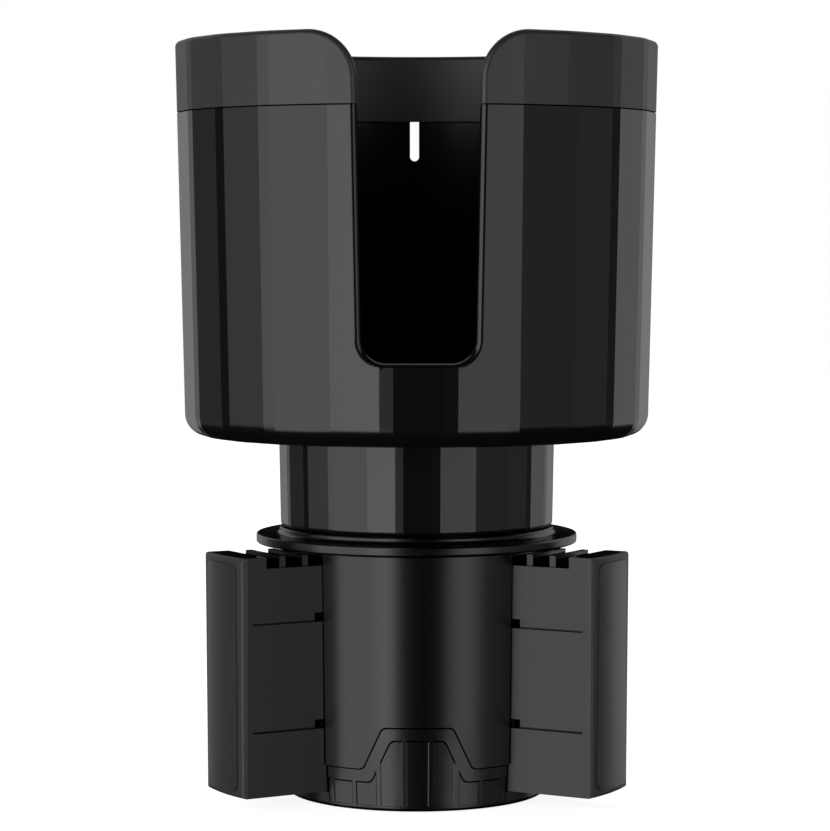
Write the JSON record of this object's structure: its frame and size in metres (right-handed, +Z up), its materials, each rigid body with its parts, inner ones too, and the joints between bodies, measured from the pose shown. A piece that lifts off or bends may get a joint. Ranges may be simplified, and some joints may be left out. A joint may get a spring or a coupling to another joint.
{
  "type": "cup holder expander",
  "caption": "Faceted drink cup with a handle slot on a round column whose sliding fins widen to fill a car's cup holder when the cup is turned.",
  "frame": {"origin": "centre of the foot's underside, on the axis that the cup turns about", "axes": "+Z up along the cup's axis, -Y towards the handle slot, +X to the right seen from the slot"},
  "size_m": [0.104, 0.1025, 0.1632],
  "materials": {
    "shell_plastic": "fine satin moulded black",
    "plate_plastic": "fine satin moulded black",
    "column_plastic": "fine satin moulded black",
    "cap_plastic": "fine satin moulded black",
    "fin_plastic": "fine satin moulded black",
    "collar_rubber": "soft matt moulded black",
    "pad_rubber": "soft matt moulded black",
    "mat_rubber": "soft matt moulded black",
    "steel": "bright zinc plated"
  },
  "bodies": {
    "base": {"column_shell": "column_plastic", "bottom_cap": "cap_plastic", "foot_pad": "mat_rubber", "pivot_bolt": "steel", "pivot_washer": "steel", "pivot_nut": "steel", "cap_screw_1": "steel", "cap_screw_2": "steel", "cap_screw_3": "steel"},
    "cup": {"cup_body": "shell_plastic", "rim_collar": "collar_rubber", "cup_mat": "mat_rubber", "drive_plate": "plate_plastic", "cup_screw_1": "steel", "cup_screw_2": "steel", "cup_screw_3": "steel"},
    "fin_left": {"fin_carrier_left": "fin_plastic", "fin_pad_left": "pad_rubber", "drive_pin_left": "steel"},
    "fin_right": {"fin_carrier_right": "fin_plastic", "fin_pad_right": "pad_rubber", "drive_pin_right": "steel"},
    "fin_rear": {"fin_carrier_rear": "fin_plastic", "fin_pad_rear": "pad_rubber", "drive_pin_rear": "steel"}
  },
  "joints": [
    {"name": "cup_twist", "type": "hinge", "parent": "base", "child": "cup", "pos_m": [0, 0, 0.0545], "axis": [0, 0, 1], "range_deg": [0, 210]},
    {"name": "fin_slide_left", "type": "slide", "parent": "base", "child": "fin_left", "axis": [-0.866, -0.5, 0], "range_m": [-0.01381, 0]},
    {"name": "fin_slide_right", "type": "slide", "parent": "base", "child": "fin_right", "axis": [0.866, -0.5, 0], "range_m": [-0.01381, 0]},
    {"name": "fin_slide_rear", "type": "slide", "parent": "base", "child": "fin_rear", "axis": [0, 1, 0], "range_m": [-0.01381, 0]}
  ],
  "couplings": [
    {"joint": "fin_slide_left", "follows": "cup_twist", "m_per_rad": -0.0037656},
    {"joint": "fin_slide_right", "follows": "cup_twist", "m_per_rad": -0.0037656},
    {"joint": "fin_slide_rear", "follows": "cup_twist", "m_per_rad": -0.0037656}
  ]
}
